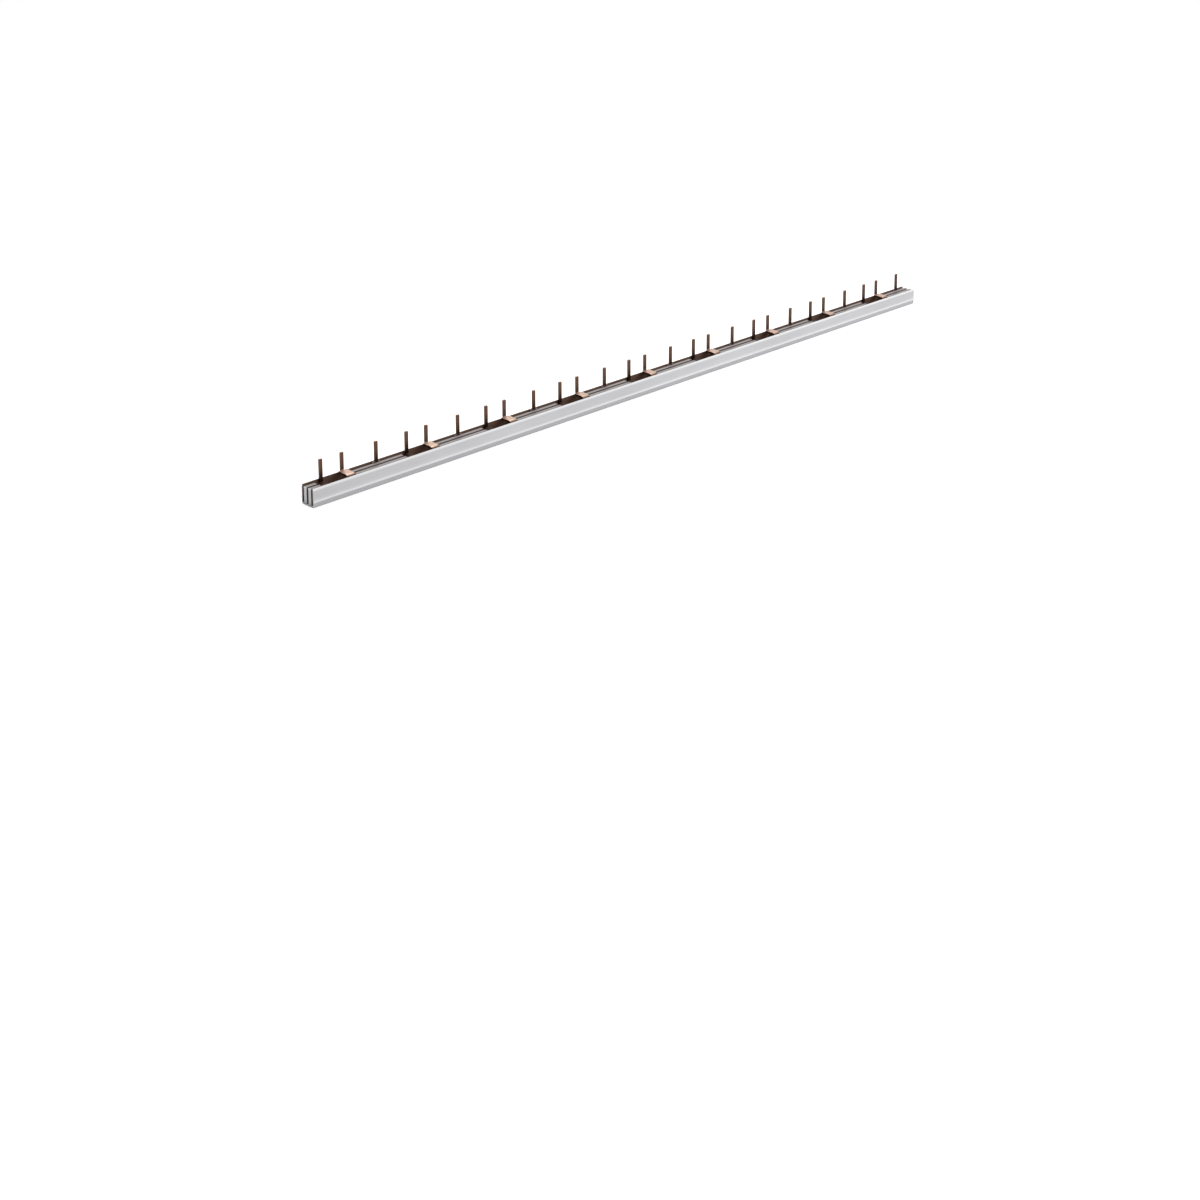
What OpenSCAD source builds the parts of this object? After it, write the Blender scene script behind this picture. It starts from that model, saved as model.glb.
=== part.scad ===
// Comb busbar: three stamped copper combs in one extruded plastic housing, open at the top.
// X runs along the bar, the front is -Y, and the origin is the centre of the underside.

/* [Phases] */
// Number of groups of three pins
group_count = 9; // [1:1:12]
// Distance from one group to the next
group_pitch = 81; // [74:0.5:120]
// Distance from a group's first pin to its second pin
second_pin = 19.4; // [16:0.1:24]
// Distance from a group's first pin to its third pin
third_pin = 51.5; // [44:0.1:56]
// Housing left of the first pin
left_margin = 16.1; // [12:0.1:30]
// Housing right of the last pin
right_margin = 13.4; // [10:0.1:30]

/* [Housing] */
// Depth across the two ridges
housing_depth = 15.2; // [14.6:0.1:18]
// Height of the walls above the underside
housing_height = 15; // [14:0.1:20]
// Thickness of the two walls
wall_t = 0.9; // [0.7:0.05:1.2]
// Thickness of the floor under the slots
floor_t = 1.4; // [1:0.1:2]
// How far the tops of the ribs lie below the walls
rib_drop = 1; // [0.5:0.1:2]
// Height of the bevel along each wall's top edge
bevel_h = 1.8; // [1:0.1:3]
// How far the bevel leans in
bevel_in = 0.35; // [0.1:0.05:0.5]
// Height of each ridge's crest above the underside
ridge_z = 4.6; // [3.5:0.1:6]
// Height of the slope above each ridge's crest
ridge_slope_h = 2; // [1:0.1:3]
// How far each ridge stands out of its wall
ridge_out = 0.35; // [0.2:0.05:0.6]
// How far the foot lies back from the ridges
foot_in = 0.5; // [0.3:0.05:0.7]
// Radius of the two lower edges
foot_r = 0.9; // [0.5:0.1:1.2]

/* [Copper] */
// Thickness of the copper sheet
sheet_t = 1.8; // [1.2:0.1:2]
// Height of the strip below the tabs
strip_h = 7.4; // [6:0.1:8]
// Clearance on each side of a strip in its slot
slot_gap = 0.2; // [0.1:0.05:0.4]
// How far the strips stop short of the housing's ends
strip_setback = 3; // [1:0.5:8]
// Width of the tabs
tab_w = 7.5; // [5:0.1:9]
// Width of the pins
pin_w = 2.8; // [2:0.1:4]
// Height of the pin tips above the walls
pin_rise = 15.6; // [12:0.1:20]
// Chamfer on the corners of each pin tip
tip_chamfer = 0.5; // [0.2:0.1:0.9]
// Inner radius of the bends
bend_r = 0.5; // [0.4:0.1:1]
// Fillet in the corners where a tab leaves its strip
root_r = 1.2; // [0.5:0.1:2]

/* [Tabs] */
// Clearance of the first tab over the back strip, which it crosses
first_lift = 1.8; // [1.5:0.1:2.4]
// Slope of the first tab's run
first_slope = 5; // [1:1:8]
// Foot of the second pin above the walls
second_foot = 1.8; // [1:0.1:3]
// Slope of the second tab's run
second_slope = 2; // [1:1:12]
// Top of the third pin's shoulder below the walls
shoulder_drop = 0.5; // [0.2:0.1:1]
// Room beside the outer tabs in a notch of the ribs
notch_gap = 2.5; // [1.5:0.1:4]

/* [Hidden] */
slot_count = 3;
bend_steps = 6;
past = 1;
last_group = group_count - 1;
bar_length = left_margin + last_group * group_pitch + third_pin + right_margin;
first_x = left_margin - bar_length / 2;
wall_y = housing_depth / 2 - ridge_out;
inner_y = wall_y - wall_t;
foot_y = housing_depth / 2 - foot_in;
slot_w = sheet_t + 2 * slot_gap;
rib_w = (2 * inner_y - slot_count * slot_w) / (slot_count - 1);
slot_pitch = slot_w + rib_w;
strip_top = floor_t + strip_h;
strip_length = bar_length - 2 * strip_setback;
tip_z = housing_height + pin_rise;
back_y = slot_pitch;
notch_from = -tab_w / 2 - notch_gap;
notch_to = second_pin + tab_w / 2 + notch_gap;
outer_r = bend_r + sheet_t;
first_foot_z = strip_top + first_lift + outer_r - bend_r;
second_foot_z = housing_height + second_foot;
third_shoulder_z = housing_height - shoulder_drop;

// Points of an arc about a centre, from one angle to another
function arc(centre, radius, from, to, steps) =
    [for (i = [0 : steps])
        let (a = from + (to - from) * i / steps)
        centre + radius * [cos(a), sin(a)]];

// One side of the housing's outline, from the foot's edge up to the wall's top
function side_outline() = concat(
    arc([foot_y - foot_r, foot_r], foot_r, -90, 0, bend_steps),
    [[foot_y, ridge_z - foot_in - foot_in / 2],
     [housing_depth / 2, ridge_z - foot_in / 2],
     [housing_depth / 2, ridge_z],
     [wall_y, ridge_z + ridge_slope_h],
     [wall_y, housing_height - bevel_h],
     [wall_y - bevel_in, housing_height]]);

module outer_outline() {
    right = side_outline();
    left = [for (i = [len(right) - 1 : -1 : 0]) [-right[i].x, right[i].y]];
    polygon(concat(right, left));
}

// The channel above the ribs and the three slots that hold the strips
module hollow_outline() {
    rib_top = housing_height - rib_drop;
    translate([-inner_y, rib_top]) square([2 * inner_y, rib_drop + past]);
    for (i = [0 : slot_count - 1])
        translate([(i - 1) * slot_pitch - slot_w / 2, floor_t])
            square([slot_w, housing_height - floor_t]);
}

// Stands an outline drawn in Y and Z up across the bar and runs it along X
module run_along_x(length) {
    rotate([90, 0, 90]) linear_extrude(length, center = true) children();
}

module at_each_group() {
    for (i = [0 : last_group])
        translate([first_x + i * group_pitch, 0, 0]) children();
}

// The cut in both ribs that lets the first and second tabs cross to the row of pins
module rib_notch() {
    translate([notch_from, -inner_y, strip_top])
        cube([notch_to - notch_from, 2 * inner_y, housing_height]);
}

module housing() {
    color("gainsboro")
    difference() {
        run_along_x(bar_length)
            difference() {
                outer_outline();
                hollow_outline();
            }
        at_each_group() rib_notch();
    }
}

// The flat strip that joins a comb's tabs
module strip(y) {
    translate([-strip_length / 2, y - sheet_t / 2, floor_t])
        cube([strip_length, sheet_t, strip_h]);
}

// Front view of a tab: fillets at the root, the tab, its shoulders and the chamfered pin
function tab_side(shoulder_z) = concat(
    arc([tab_w / 2 + root_r, strip_top + root_r], root_r, 270, 180, bend_steps),
    [[tab_w / 2, shoulder_z],
     [pin_w / 2, shoulder_z],
     [pin_w / 2, tip_z - tip_chamfer],
     [pin_w / 2 - tip_chamfer, tip_z]]);

module tab_outline(shoulder_z) {
    right = tab_side(shoulder_z);
    left = [for (i = [len(right) - 1 : -1 : 0]) [-right[i].x, right[i].y]];
    base = [[-tab_w / 2 - root_r, strip_top - past], [tab_w / 2 + root_r, strip_top - past]];
    polygon(concat(base, right, left));
}

// Side view of a tab that leaves its strip, crosses back over the ribs and turns up as a pin.
// Both bends turn through the same angle, about centres on opposite sides of the sheet.
function crossing(reach, foot_z, slope) =
    let (across = reach - sheet_t - 2 * bend_r)
    let (up = (bend_r + outer_r + sin(slope) * across) / cos(slope))
    let (high = [reach - sheet_t / 2 - bend_r, foot_z + bend_r])
    let (low = high - [across, up])
    concat(
        [[-sheet_t / 2, strip_top - past]],
        arc(low, outer_r, 180, 90 + slope, bend_steps),
        arc(high, bend_r, slope - 90, 0, bend_steps),
        [[reach - sheet_t / 2, tip_z], [reach + sheet_t / 2, tip_z]],
        arc(high, outer_r, 0, slope - 90, bend_steps),
        arc(low, bend_r, 90 + slope, 180, bend_steps),
        [[sheet_t / 2, strip_top - past]]);

// A tab whose pin stands in the back row: its front and side views, cut from one block
module crossing_tab(y, foot_z, slope) {
    intersection() {
        translate([0, y, 0])
            run_along_x(tab_w + 2 * root_r) polygon(crossing(back_y - y, foot_z, slope));
        translate([0, back_y + sheet_t, 0])
            rotate([90, 0, 0]) linear_extrude(2 * back_y + 2 * sheet_t) tab_outline(foot_z);
    }
}

module front_comb() {
    color("peru") {
        strip(-slot_pitch);
        at_each_group()
            translate([second_pin, 0, 0])
                crossing_tab(-slot_pitch, second_foot_z, second_slope);
    }
}

module middle_comb() {
    color("sandybrown") {
        strip(0);
        at_each_group() crossing_tab(0, first_foot_z, first_slope);
    }
}

module back_comb() {
    color("sienna") {
        strip(back_y);
        at_each_group()
            translate([third_pin, back_y + sheet_t / 2, 0])
                rotate([90, 0, 0])
                    linear_extrude(sheet_t) tab_outline(third_shoulder_z);
    }
}

housing();
front_comb();
middle_comb();
back_comb();
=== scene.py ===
# %% [markdown]
# # A comb busbar
# A comb busbar links a row of breakers. Three stamped copper combs lie in one extruded plastic
# housing, and their pins stand in a single row at the back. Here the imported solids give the
# frame, and each part is made again as a smooth surface with the edges that tools leave.

# %% Load the frame
import math

import bmesh
import bpy
import numpy as np
from mathutils import Matrix, Vector


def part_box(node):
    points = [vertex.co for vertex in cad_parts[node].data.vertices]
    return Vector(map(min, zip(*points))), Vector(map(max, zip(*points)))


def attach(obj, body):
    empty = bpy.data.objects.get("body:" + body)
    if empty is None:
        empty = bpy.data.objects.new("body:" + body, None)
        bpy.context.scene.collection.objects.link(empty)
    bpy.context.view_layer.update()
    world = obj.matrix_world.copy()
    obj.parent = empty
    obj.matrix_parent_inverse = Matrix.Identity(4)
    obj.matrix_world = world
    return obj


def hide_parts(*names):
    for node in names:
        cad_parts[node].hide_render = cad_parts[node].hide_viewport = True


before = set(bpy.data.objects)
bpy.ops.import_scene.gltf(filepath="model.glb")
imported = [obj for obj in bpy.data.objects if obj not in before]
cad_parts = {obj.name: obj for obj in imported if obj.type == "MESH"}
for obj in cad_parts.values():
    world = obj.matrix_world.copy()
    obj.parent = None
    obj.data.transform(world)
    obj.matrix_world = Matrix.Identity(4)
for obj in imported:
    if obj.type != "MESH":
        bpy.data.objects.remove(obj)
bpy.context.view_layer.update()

MM = 0.001
print("solids:", sorted(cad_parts))

# %% [markdown]
# ## Camera
# A long thin bar is shown from a low place near its left end, with the picture's frame slid
# down instead of the camera tilted. The pins then stay upright, as with a shift lens.

# %% Camera
FOCAL = 58.71
SENSOR = 36.0
PITCH = math.radians(11.21)
YAW = math.radians(45.07)
EYE = Vector((-1.16235, -1.0954, 0.55239))
FRAME_SHIFT = -0.4017


def aim_camera():
    """Builds the camera's axes from its yaw about Z and its pitch below the horizon."""
    level = math.cos(PITCH)
    ahead = Vector((math.sin(YAW) * level, math.cos(YAW) * level, -math.sin(PITCH)))
    right = Vector((math.cos(YAW), -math.sin(YAW), 0))
    lens = bpy.data.cameras.new("camera")
    lens.sensor_width = SENSOR
    lens.lens = FOCAL
    lens.shift_y = FRAME_SHIFT
    lens.clip_start = 0.01
    camera = bpy.data.objects.new("camera", lens)
    bpy.context.scene.collection.objects.link(camera)
    turn = Matrix((right, right.cross(ahead), -ahead)).transposed().to_4x4()
    camera.matrix_world = Matrix.Translation(EYE) @ turn
    bpy.context.scene.camera = camera


aim_camera()
print("camera at", tuple(round(v, 3) for v in EYE))

# %% [markdown]
# ## Sizes of the bar
# The lengths repeat the part's own values, in millimetres, and the boxes of the solids give
# the rest. A mistake in one of them would show at once as a gap between copper and plastic.

# %% Sizes
GROUP_COUNT = 9
GROUP_PITCH = 81.0
SECOND_PIN = 19.4
THIRD_PIN = 51.5
LEFT_MARGIN = 16.1
FLOOR_T = 1.4
WALL_T = 0.9
RIDGE_OUT = 0.35
RIB_DROP = 1.0
STRIP_H = 7.4
SHEET_T = 1.8
SLOT_W = 2.2
TAB_W = 7.5
PIN_W = 2.8
BEND_R = 0.5
ROOT_R = 1.2
TIP_CHAMFER = 0.5
NOTCH_GAP = 2.5

low, high = (np.array(corner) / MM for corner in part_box("housing"))
BAR_LENGTH = high[0] - low[0]
HEIGHT = high[2]
RIDGE_Y = high[1]
WALL_Y = RIDGE_Y - RIDGE_OUT
INNER_Y = WALL_Y - WALL_T
SLOT_PITCH = INNER_Y - SLOT_W / 2
RIB_W = SLOT_PITCH - SLOT_W
FIRST_X = LEFT_MARGIN - BAR_LENGTH / 2
strip_low, strip_high = (np.array(corner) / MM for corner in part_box("back_comb"))
TIP_Z = strip_high[2]
STRIP_TOP = FLOOR_T + STRIP_H
RIB_TOP = HEIGHT - RIB_DROP
GROUP_X = FIRST_X + GROUP_PITCH * np.arange(GROUP_COUNT)
print("bar", round(BAR_LENGTH, 1), "mm long, slots every", round(SLOT_PITCH, 2), "mm")

# %% [markdown]
# ## Surfaces from numbers
# Every piece here is a section carried along a path: a grid of points with one direction
# round the section and one along the path. The grid closes on itself, and its two ends are
# closed with caps.

# %% Carry a section along a path


def rounded(corners, radius, steps=4):
    """Rounds a closed outline: near each corner the point runs on a quadratic curve from one
    side to the next, P(t) = (1-t)^2 a + 2t(1-t) corner + t^2 b, with a and b a radius away."""
    pts = np.asarray(corners, float)
    before = np.roll(pts, 1, axis=0) - pts
    after = np.roll(pts, -1, axis=0) - pts
    len_before = np.linalg.norm(before, axis=1, keepdims=True)
    len_after = np.linalg.norm(after, axis=1, keepdims=True)
    reach = np.broadcast_to(np.asarray(radius, float).reshape(-1, 1), len_before.shape)
    a = pts + before / len_before * np.minimum(reach, 0.45 * len_before)
    b = pts + after / len_after * np.minimum(reach, 0.45 * len_after)
    t = np.linspace(0, 1, steps + 1)[None, :, None]
    curve = (1 - t) ** 2 * a[:, None] + 2 * t * (1 - t) * pts[:, None] + t ** 2 * b[:, None]
    return curve.reshape(-1, 2)


def tube(sections):
    """Points and faces of a closed tube from an array of sections, shape (stations, points, 3),
    with a flat cap at each end."""
    stations, count, _ = sections.shape
    index = np.arange(stations * count).reshape(stations, count)
    here, ahead = index[:-1], index[1:]
    quads = np.stack([here, np.roll(here, -1, 1), np.roll(ahead, -1, 1), ahead], axis=-1)
    faces = quads.reshape(-1, 4).tolist()
    faces.append(index[0][::-1].tolist())
    faces.append(index[-1].tolist())
    return sections.reshape(-1, 3), faces


def join(parts):
    """One list of points and faces from several."""
    points, faces, start = [], [], 0
    for part_points, part_faces in parts:
        points.append(part_points)
        faces += [[start + corner for corner in face] for face in part_faces]
        start += len(part_points)
    return np.concatenate(points), faces


def add_piece(name, parts, node, smooth_angle=35):
    """Makes the object in metres, turns its faces outwards and lets it stand for its solid."""
    points, faces = join(parts)
    mesh = bpy.data.meshes.new(name)
    mesh.from_pydata((points * MM).tolist(), [], faces)
    work = bmesh.new()
    work.from_mesh(mesh)
    bmesh.ops.recalc_face_normals(work, faces=work.faces)
    work.to_mesh(mesh)
    work.free()
    mesh.shade_smooth()
    mesh.set_sharp_from_angle(angle=math.radians(smooth_angle))
    piece = bpy.data.objects.new(name, mesh)
    bpy.context.scene.collection.objects.link(piece)
    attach(piece, "root")
    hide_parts(node)
    print(name, len(mesh.polygons), "faces")
    return piece


# %% [markdown]
# ## The extruded housing
# Rigid PVC is pushed through a die, so one section holds along the whole bar, and no edge of
# it is sharp. The walls end in a small bevelled lip, a ridge runs along each side, and the
# lower edges are round. The section is rounded corner by corner and then carried along X.

# %% Housing shell
BEVEL_H, BEVEL_IN = 1.8, 0.35
RIDGE_Z, RIDGE_SLOPE_H, FOOT_IN, FOOT_R = 4.6, 2.0, 0.5, 0.9
FOOT_Y = RIDGE_Y - FOOT_IN
EDGE_R = 0.18

side = np.array([
    [FOOT_Y, 0],
    [FOOT_Y, RIDGE_Z - 1.5 * FOOT_IN],
    [RIDGE_Y, RIDGE_Z - 0.5 * FOOT_IN],
    [RIDGE_Y, RIDGE_Z],
    [WALL_Y, RIDGE_Z + RIDGE_SLOPE_H],
    [WALL_Y, HEIGHT - BEVEL_H],
    [WALL_Y - BEVEL_IN, HEIGHT],
    [INNER_Y, HEIGHT],
    [INNER_Y, FLOOR_T]])
side_r = np.array([FOOT_R * 1.6, EDGE_R, EDGE_R, EDGE_R, 0.5, 0.5, EDGE_R, EDGE_R, 0.3])
shell_outline = rounded(np.concatenate([side, side[::-1] * [-1, 1]]),
                        np.concatenate([side_r, side_r[::-1]]))


def along_x(outline, stations):
    """A section in Y and Z, repeated at each station along X."""
    flat = np.zeros((len(stations), len(outline), 3))
    flat[:, :, 0] = np.asarray(stations)[:, None]
    flat[:, :, 1:] = outline[None]
    return flat


half = BAR_LENGTH / 2
shell = tube(along_x(shell_outline, np.linspace(-half, half, 60)))
print("section of", len(shell_outline), "points")

# %% [markdown]
# ## The two ribs
# The ribs keep the three strips apart. They are part of the same extrusion, milled down
# wherever tabs cross. Their height is a function of the place along the bar, and the
# shoulders of each cut are a little rounded, as an end mill leaves them.

# %% Ribs
NOTCH_FROM = -TAB_W / 2 - NOTCH_GAP
NOTCH_TO = SECOND_PIN + TAB_W / 2 + NOTCH_GAP
# Each side of a cut: distances outwards from its edge, and the share of the depth lost there
SHOULDER = np.array([0.0, 0.02, 0.25])
SHOULDER_DROP = np.array([1.0, 0.08, 0.0])
RIB_FOOT_R, RIB_EDGE_R = 0.01, 0.12
RIB_EDGE_H = 2.0
RIB_SUNK = 0.4


def rib_profile():
    """Stations along X with the rib's height there: full height outside the cuts, and the
    strips' height inside, with a short rounded shoulder at each side of a cut."""
    near = GROUP_X[:, None] + NOTCH_FROM - SHOULDER[::-1]
    far = GROUP_X[:, None] + NOTCH_TO + SHOULDER
    cuts = np.concatenate([near, far], axis=1).ravel()
    falls = np.tile(np.concatenate([SHOULDER_DROP[::-1], SHOULDER_DROP]), GROUP_COUNT)
    heights = RIB_TOP - falls * (RIB_TOP - STRIP_TOP)
    return np.concatenate([[-half], cuts, [half]]), np.concatenate([[RIB_TOP], heights, [RIB_TOP]])


def rib(y):
    """A rounded rectangle whose top follows the rib's height. Its outline is one unit high:
    points in the upper half go to the top, the others a little way into the floor."""
    stations, heights = rib_profile()
    box = np.array([[-RIB_W / 2, 0], [RIB_W / 2, 0], [RIB_W / 2, 1], [-RIB_W / 2, 1]])
    base = rounded(box, [RIB_FOOT_R, RIB_FOOT_R, RIB_EDGE_R, RIB_EDGE_R])
    upper = base[:, 1] > 0.5
    top = (base[:, 1] - 1) * RIB_EDGE_H
    flat = np.zeros((len(stations), len(base), 3))
    flat[:, :, 0] = stations[:, None]
    flat[:, :, 1] = y + base[None, :, 0]
    flat[:, :, 2] = np.where(upper, heights[:, None] + top, FLOOR_T - RIB_SUNK)
    return tube(flat)


rib_y = (SLOT_W + RIB_W) / 2
housing = add_piece("housing_profile", [shell, rib(-rib_y), rib(rib_y)], "housing")

# %% [markdown]
# ## The copper combs
# A comb is punched from rolled sheet and then bent. The punch leaves one rounded edge, so
# the strip and the tabs are thin rounded rectangles. A tab is that rectangle carried up from
# its strip, over the ribs and up again as a pin, narrowing at the shoulders. It starts a
# little inside the strip, and the first steps of its upper bend are still as wide as the tab.

# %% Section of the copper sheet
SHEARED_R = 0.22
ARC_STEPS = 10
WIDE_STEPS = 4
TIP_INSET = 0.25
TIP_EDGE = 0.08
PIN_SHAFT = 6.0
CORNER_EASE = 0.1
SHORT_STEP = 0.02
TAB_BURIED = 1.0


def sheet_section(width, thick):
    """Rounded rectangle of the sheet: width along X, thickness across it."""
    w, t = width / 2, thick / 2
    return rounded([[-w, -t], [w, -t], [w, t], [-w, t]], SHEARED_R, steps=3)


def strip(y):
    """The flat bar that joins a comb's tabs, standing on edge in its slot."""
    outline = rounded([[y - SHEET_T / 2, FLOOR_T], [y + SHEET_T / 2, FLOOR_T],
                       [y + SHEET_T / 2, STRIP_TOP], [y - SHEET_T / 2, STRIP_TOP]], SHEARED_R)
    return tube(along_x(outline, np.linspace(strip_low[0], strip_high[0], 40)))


def fillet_widths():
    """Heights and widths of the round corners where a tab leaves its strip: the width falls
    on a quarter circle of the root radius."""
    turn = np.radians(np.linspace(270, 180, 7))
    return (STRIP_TOP + ROOT_R + ROOT_R * np.sin(turn),
            TAB_W + 2 * ROOT_R + 2 * ROOT_R * np.cos(turn))


def carry(path, widths, thick, x, y):
    """Carries the sheet's section along a path in Y and Z. Across the sheet it follows the
    path's normal, along X it keeps the width given at each station."""
    run = np.gradient(path, axis=0)
    run /= np.linalg.norm(run, axis=1, keepdims=True)
    normal = np.stack([-run[:, 1], run[:, 0]], axis=1)
    sections = np.stack([sheet_section(w, t) for w, t in zip(widths, thick)])
    points = np.zeros(sections.shape[:2] + (3,))
    points[:, :, 0] = x + sections[:, :, 0]
    points[:, :, 1] = y + path[:, None, 0] + sections[:, :, 1] * normal[:, None, 0]
    points[:, :, 2] = path[:, None, 1] + sections[:, :, 1] * normal[:, None, 1]
    return tube(points)


# %% Path of a bent tab


def bent_path(reach, foot_z, slope):
    """Centre line of a joggled tab: up from the strip, a quarter turn towards the back, a
    sloping run, a quarter turn up, and the pin. Both turns have the same radius."""
    centre_r = BEND_R + SHEET_T / 2
    tilt = math.radians(slope)
    across = reach - 2 * centre_r
    up = (2 * centre_r + math.sin(tilt) * across) / math.cos(tilt)
    upper = np.array([reach - centre_r, foot_z + BEND_R])
    lower = upper - [across, up]
    first = np.radians(np.linspace(180, 90 + slope, ARC_STEPS))
    second = np.radians(np.linspace(slope - 90, 0, ARC_STEPS))
    low_bend = lower + centre_r * np.stack([np.cos(first), np.sin(first)], axis=1)
    high_bend = upper + centre_r * np.stack([np.cos(second), np.sin(second)], axis=1)
    return low_bend, high_bend


def pin_end(y):
    """Last stations of a pin: straight up, then the chamfer at the tip."""
    chamfer_z = TIP_Z - TIP_CHAMFER
    tip_w = PIN_W - 2 * TIP_CHAMFER
    z = np.array([TIP_Z - PIN_SHAFT, chamfer_z - CORNER_EASE, chamfer_z, TIP_Z - TIP_EDGE, TIP_Z])
    widths = np.array([PIN_W, PIN_W, PIN_W, tip_w + CORNER_EASE, tip_w])
    thick = np.array([SHEET_T, SHEET_T, SHEET_T, SHEET_T - TIP_INSET, SHEET_T - 2 * TIP_INSET])
    return np.stack([np.full(len(z), y), z], axis=1), widths, thick


def bent_tab(x, y, foot_z, slope):
    """A tab that leaves its strip at y and ends as a pin in the back row."""
    reach = SLOT_PITCH - y
    low_bend, high_bend = bent_path(reach, foot_z, slope)
    root_z, root_w = fillet_widths()
    root_z = np.minimum(root_z, low_bend[0, 1] - SHORT_STEP * np.arange(len(root_z), 0, -1))
    root = np.stack([np.zeros(len(root_z)), root_z], axis=1)
    base = np.array([[0, STRIP_TOP - TAB_BURIED]])
    end, end_w, end_t = pin_end(reach)
    wide, narrow = high_bend[:WIDE_STEPS], high_bend[WIDE_STEPS:]
    path = np.concatenate([base, root, low_bend, wide, wide[-1:] + [0.0, SHORT_STEP], narrow, end])
    widths = np.concatenate([[root_w[0]], root_w, np.full(ARC_STEPS + WIDE_STEPS, TAB_W),
                             [PIN_W + 4 * CORNER_EASE], np.full(len(narrow), PIN_W), end_w])
    thick = np.concatenate([np.full(len(path) - len(end_t), SHEET_T), end_t])
    return carry(path, widths, thick, x, y)


def straight_tab(x, y, shoulder_z):
    """A tab that stands straight up from its strip and narrows to a pin at its shoulders, which
    are given as heights from the shoulder and the widths there."""
    root_z, root_w = fillet_widths()
    end, end_w, end_t = pin_end(0)
    shoulder = np.array([[-0.2, TAB_W], [-0.05, TAB_W - 0.1], [0, PIN_W + 0.6], [0.35, PIN_W]])
    z = np.concatenate([[STRIP_TOP - TAB_BURIED], root_z, shoulder_z + shoulder[:, 0]])
    path = np.concatenate([np.stack([np.zeros(len(z)), z], axis=1), end])
    widths = np.concatenate([[root_w[0]], root_w, shoulder[:, 1], end_w])
    thick = np.concatenate([np.full(len(z), SHEET_T), end_t])
    return carry(path, widths, thick, x, y)


# %% The three combs
FIRST_LIFT, FIRST_SLOPE = 1.8, 5
SECOND_FOOT, SECOND_SLOPE = 1.8, 2
THIRD_DROP = 0.5
FIRST_FOOT_Z = STRIP_TOP + FIRST_LIFT + SHEET_T
SECOND_FOOT_Z = HEIGHT + SECOND_FOOT
THIRD_SHOULDER_Z = HEIGHT - THIRD_DROP

middle = add_piece(
    "middle_comb_copper",
    [strip(0)] + [bent_tab(x, 0, FIRST_FOOT_Z, FIRST_SLOPE) for x in GROUP_X],
    "middle_comb")
front = add_piece(
    "front_comb_copper",
    [strip(-SLOT_PITCH)] + [bent_tab(x + SECOND_PIN, -SLOT_PITCH, SECOND_FOOT_Z, SECOND_SLOPE)
                            for x in GROUP_X],
    "front_comb")
back = add_piece(
    "back_comb_copper",
    [strip(SLOT_PITCH)] + [straight_tab(x + THIRD_PIN, SLOT_PITCH, THIRD_SHOULDER_Z)
                           for x in GROUP_X],
    "back_comb")

# %% [markdown]
# ## Finishes
# The PVC has a satin skin with faint die lines along the bar. Painted shade makes the inside
# of the channel dark brown, the brown a painted reflection of the copper, and the rib tops dark
# grey. The lip and the ridge get a paler grey as a painted highlight, and the face below the
# ridge a darker one as painted shade. The copper is browned. Low in the channel it is painted
# nearly black as shade, and level faces above the ribs are painted much lighter than upright
# ones as a highlight, whatever the lamps do. All patterns lie on Object coordinates.

# %% Node helper


class Finish:
    """A material with short calls for its nodes."""

    def __init__(self, name):
        self.material = bpy.data.materials.new(name)
        self.material.use_nodes = True
        self.tree = self.material.node_tree
        self.shader = self.tree.nodes["Principled BSDF"]
        self.place = self.node("ShaderNodeTexCoord").outputs["Object"]

    def node(self, kind, **values):
        made = self.tree.nodes.new(kind)
        for key, value in values.items():
            setattr(made, key, value)
        return made

    def link(self, a, b):
        self.tree.links.new(a, b)

    def noise(self, scale, stretch=(1, 1, 1), detail=4.0):
        """Noise whose grain is stretched along an axis where its factor is small."""
        mapping = self.node("ShaderNodeMapping")
        mapping.inputs["Scale"].default_value = stretch
        self.link(self.place, mapping.inputs["Vector"])
        noise = self.node("ShaderNodeTexNoise")
        noise.inputs["Scale"].default_value = scale
        noise.inputs["Detail"].default_value = detail
        self.link(mapping.outputs["Vector"], noise.inputs["Vector"])
        return noise.outputs["Fac"]

    def ramp(self, value, low_in, high_in, low_out, high_out):
        """Straight-line change of a value from one range to another, held at its ends."""
        spread = self.node("ShaderNodeMapRange")
        for key, number in zip(("From Min", "From Max", "To Min", "To Max"),
                               (low_in, high_in, low_out, high_out)):
            spread.inputs[key].default_value = number
        self.link(value, spread.inputs["Value"])
        return spread.outputs["Result"]

    def math(self, how, a, b):
        made = self.node("ShaderNodeMath", operation=how)
        for socket, value in zip(made.inputs, (a, b)):
            if isinstance(value, (int, float)):
                socket.default_value = value
            else:
                self.link(value, socket)
        return made.outputs[0]

    def mix(self, amount, a, b):
        made = self.node("ShaderNodeMix", data_type="RGBA")
        for socket, value in zip((made.inputs[0], made.inputs[6], made.inputs[7]),
                                 (amount, a, b)):
            if isinstance(value, tuple):
                socket.default_value = (*value, 1)
            else:
                self.link(value, socket)
        return made.outputs[2]

    def bump(self, height, strength, distance):
        made = self.node("ShaderNodeBump")
        made.inputs["Strength"].default_value = strength
        made.inputs["Distance"].default_value = distance
        self.link(height, made.inputs["Height"])
        self.link(made.outputs["Normal"], self.shader.inputs["Normal"])


# %% Extruded PVC
PVC_PALE = (0.60, 0.60, 0.615)
PVC_SHADE = (0.50, 0.50, 0.515)
# Paler grey painted as a highlight on the lip and the ridge
PVC_PAINTED_HIGHLIGHT = (0.84, 0.84, 0.85)
# Darker grey painted as shade on the face below the ridge
PVC_UNDER_RIDGE_SHADE = (0.45, 0.45, 0.465)
# Painted shade for the channel: dark grey on the rib tops, dark brown elsewhere inside, the brown
# a painted reflection of the copper
PVC_RIB_TOP_SHADE = (0.235, 0.222, 0.225)
PVC_CHANNEL_SHADE = (0.16, 0.095, 0.068)


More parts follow.
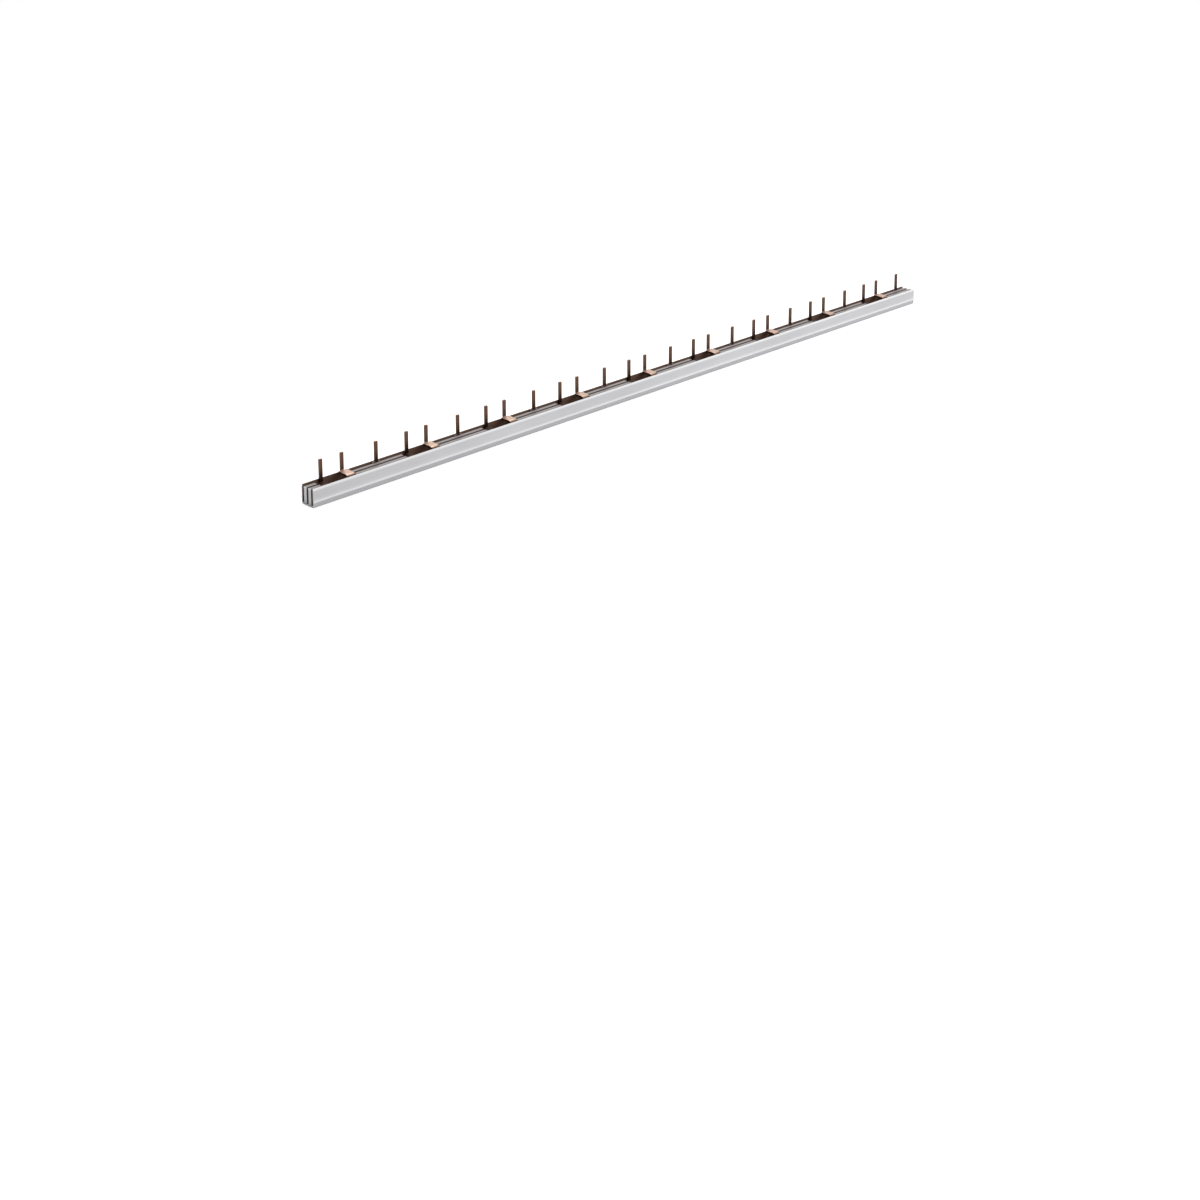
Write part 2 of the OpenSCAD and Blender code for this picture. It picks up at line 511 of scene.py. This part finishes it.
def pvc_finish():
    pvc = Finish("extruded_light_grey_pvc")
    apart = pvc.node("ShaderNodeSeparateXYZ")
    pvc.link(pvc.place, apart.inputs[0])
    height = apart.outputs["Z"]
    across = pvc.math("ABSOLUTE", apart.outputs["Y"], 0.0)
    along = pvc.math("ABSOLUTE", apart.outputs["X"], 0.0)
    # Painted shade: inside the channel, above the floor and away from the bar's ends, the PVC is
    # coloured dark, with the rib tops dark grey and the rest dark brown
    inside = pvc.ramp(across, (WALL_Y - BEVEL_IN - 0.15) * MM, (WALL_Y - BEVEL_IN) * MM, 1.0, 0.0)
    above_floor = pvc.ramp(height, (FLOOR_T - 0.2) * MM, FLOOR_T * MM, 0.0, 1.0)
    off_end = pvc.ramp(along, (half - 0.3) * MM, (half - 0.02) * MM, 1.0, 0.0)
    channel_shade = pvc.math("MULTIPLY", pvc.math("MULTIPLY", inside, above_floor), off_end)
    rib_top = pvc.ramp(height, (RIB_TOP - 0.3) * MM, (RIB_TOP - 0.1) * MM, 0.0, 1.0)
    off_wall = pvc.ramp(across, (INNER_Y - 0.3) * MM, (INNER_Y - 0.2) * MM, 1.0, 0.0)
    channel_shade_colour = pvc.mix(pvc.math("MULTIPLY", rib_top, off_wall), PVC_CHANNEL_SHADE, PVC_RIB_TOP_SHADE)
    streaks = pvc.noise(900.0, (0.004, 1, 1))
    clouds = pvc.noise(30.0, (0.5, 1, 1), 2.0)
    tone = pvc.math("ADD", pvc.math("MULTIPLY", streaks, 0.55), pvc.math("MULTIPLY", clouds, 0.45))
    skin = pvc.mix(pvc.ramp(tone, 0.35, 0.65, 0.0, 1.0), PVC_SHADE, PVC_PALE)
    # Painted shade: the face below the ridge is coloured darker, as the ridge's shadow
    low = pvc.ramp(height, (RIDGE_Z - 1.2) * MM, (RIDGE_Z - 0.4) * MM, 1.0, 0.0)
    # Painted highlight: the lip's bevel and the ridge are coloured a paler grey, as if catching
    # the light from above
    lip = pvc.ramp(height, (HEIGHT - BEVEL_H - 0.2) * MM, (HEIGHT - BEVEL_H + 0.3) * MM, 0.0, 1.0)
    ridge = pvc.ramp(across, (WALL_Y + 0.02) * MM, (WALL_Y + 0.3) * MM, 0.0, 1.0)
    lip_ridge_highlight = pvc.math("MAXIMUM", lip, ridge)
    skin = pvc.mix(pvc.math("MULTIPLY", lip_ridge_highlight, 0.8), skin, PVC_PAINTED_HIGHLIGHT)
    skin = pvc.mix(low, skin, PVC_UNDER_RIDGE_SHADE)
    pvc.link(pvc.mix(channel_shade, skin, channel_shade_colour), pvc.shader.inputs["Base Color"])
    rough = pvc.ramp(streaks, 0.3, 0.7, 0.34, 0.5)
    pvc.link(rough, pvc.shader.inputs["Roughness"])
    pvc.bump(pvc.math("ADD", streaks, pvc.math("MULTIPLY", pvc.noise(4000.0), 0.3)), 0.25, 0.00004)
    return pvc.material


# %% Rolled copper
# Light copper painted as a highlight on level faces
COPPER_LEVEL_HIGHLIGHT = (0.56, 0.40, 0.32)
COPPER_CLEAN = (0.105, 0.058, 0.040)
COPPER_BROWN = (0.062, 0.032, 0.021)
# Near-black copper painted as the shade low in the channel
COPPER_CHANNEL_SHADE = (0.03, 0.015, 0.011)
# Heights in millimetres between which a change of colour runs
BURIED_TO, CLEAR_FROM = 11.5, 15.5
LEVEL_FROM, LEVEL_FULL = 13.5, 15.0
WORN_FROM, WORN_FULL = 17.0, 24.0


def copper_finish():
    copper = Finish("bare_rolled_copper")
    copper.shader.inputs["Metallic"].default_value = 1.0
    apart = copper.node("ShaderNodeSeparateXYZ")
    copper.link(copper.place, apart.inputs[0])
    height = apart.outputs["Z"]
    blotch = copper.noise(140.0, (1, 1, 0.6), 5.0)
    roll = copper.noise(2500.0, (1, 1, 0.02), 3.0)
    worn = copper.ramp(height, WORN_FROM * MM, WORN_FULL * MM, 0.25, 0.75)
    tone = copper.math("ADD", copper.math("MULTIPLY", blotch, 0.8), worn)
    wear_and_highlight = copper.mix(copper.ramp(tone, 0.5, 1.25, 0.0, 1.0), COPPER_BROWN, COPPER_CLEAN)
    # Painted highlight: faces that look up, above the ribs, are coloured much lighter copper than
    # upright ones
    facing = copper.node("ShaderNodeSeparateXYZ")
    copper.link(copper.tree.nodes["Texture Coordinate"].outputs["Normal"], facing.inputs[0])
    level = copper.math("MULTIPLY", copper.ramp(facing.outputs["Z"], 0.55, 0.95, 0.0, 1.0),
                        copper.ramp(height, LEVEL_FROM * MM, LEVEL_FULL * MM, 0.0, 1.0))
    wear_and_highlight = copper.mix(level, wear_and_highlight, COPPER_LEVEL_HIGHLIGHT)
    # Painted shade: copper low in the channel is coloured nearly black, fading out between
    # BURIED_TO and CLEAR_FROM
    copper_shade = copper.ramp(height, BURIED_TO * MM, CLEAR_FROM * MM, 1.0, 0.0)
    copper.link(copper.mix(copper_shade, wear_and_highlight, COPPER_CHANNEL_SHADE), copper.shader.inputs["Base Color"])
    rough = copper.ramp(copper.math("ADD", blotch, roll), 0.7, 1.3, 0.30, 0.5)
    copper.link(rough, copper.shader.inputs["Roughness"])
    copper.bump(roll, 0.3, 0.00003)
    return copper.material


def dress(piece, material):
    piece.data.materials.clear()
    piece.data.materials.append(material)


pvc_material = pvc_finish()
copper_material = copper_finish()
dress(housing, pvc_material)
for comb in (front, middle, back):
    dress(comb, copper_material)
for name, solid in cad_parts.items():
    dress(solid, pvc_material if name == "housing" else copper_material)
print("finishes:", pvc_material.name, copper_material.name)

# %% [markdown]
# ## Floor, sky and lamps
# A pale table and a large soft lamp above the bar give a plain studio light. The camera and
# mirror rays see a white room, and the table keeps the bar's soft shadow.

# %% Floor and sky
FLOOR_SIZE = 6.0


def seen_rays(tree):
    """1 for rays from the camera, and for those that metal or glass sends on."""
    path = tree.nodes.new("ShaderNodeLightPath")
    first = tree.nodes.new("ShaderNodeMath")
    first.operation = "MAXIMUM"
    tree.links.new(path.outputs["Is Camera Ray"], first.inputs[0])
    tree.links.new(path.outputs["Is Glossy Ray"], first.inputs[1])
    both = tree.nodes.new("ShaderNodeMath")
    both.operation = "MAXIMUM"
    tree.links.new(first.outputs[0], both.inputs[0])
    tree.links.new(path.outputs["Is Transmission Ray"], both.inputs[1])
    return both.outputs[0]


def make_floor():
    h = FLOOR_SIZE / 2
    mesh = bpy.data.meshes.new("floor")
    mesh.from_pydata([(-h, -h, 0), (h, -h, 0), (h, h, 0), (-h, h, 0)], [], [(0, 1, 2, 3)])
    floor = bpy.data.objects.new("floor", mesh)
    bpy.context.scene.collection.objects.link(floor)
    table = Finish("pale_table")
    table.shader.inputs["Base Color"].default_value = (0.86, 0.86, 0.86, 1)
    table.shader.inputs["Roughness"].default_value = 0.9
    table.shader.inputs["Emission Color"].default_value = (1, 1, 1, 1)
    table.link(table.math("MULTIPLY", seen_rays(table.tree), 0.45),
               table.shader.inputs["Emission Strength"])
    mesh.materials.append(table.material)


def make_sky():
    world = bpy.data.worlds.new("sky")
    bpy.context.scene.world = world
    world.use_nodes = True
    tree = world.node_tree
    sky = tree.nodes["Background"]
    spread = tree.nodes.new("ShaderNodeMapRange")
    spread.inputs["To Min"].default_value = 0.55
    spread.inputs["To Max"].default_value = 1.0
    tree.links.new(seen_rays(tree), spread.inputs["Value"])
    sky.inputs["Color"].default_value = (1, 1, 1, 1)
    tree.links.new(spread.outputs["Result"], sky.inputs["Strength"])


make_floor()
make_sky()

# %% Lamps


def soft_lamp(name, place, size, power):
    """A square lamp that faces the middle of the bar."""
    lamp = bpy.data.lights.new(name, "AREA")
    lamp.shape = "SQUARE"
    lamp.size = size
    lamp.energy = power
    holder = bpy.data.objects.new(name, lamp)
    bpy.context.scene.collection.objects.link(holder)
    holder.location = place
    holder.rotation_euler = (-Vector(place)).to_track_quat("-Z", "Y").to_euler()


soft_lamp("overhead", (0.1, 0.25, 1.5), 1.4, 16)
soft_lamp("front_fill", (1.0, -1.2, 1.0), 0.9, 10)

bpy.context.scene.view_settings.view_transform = 'Standard'
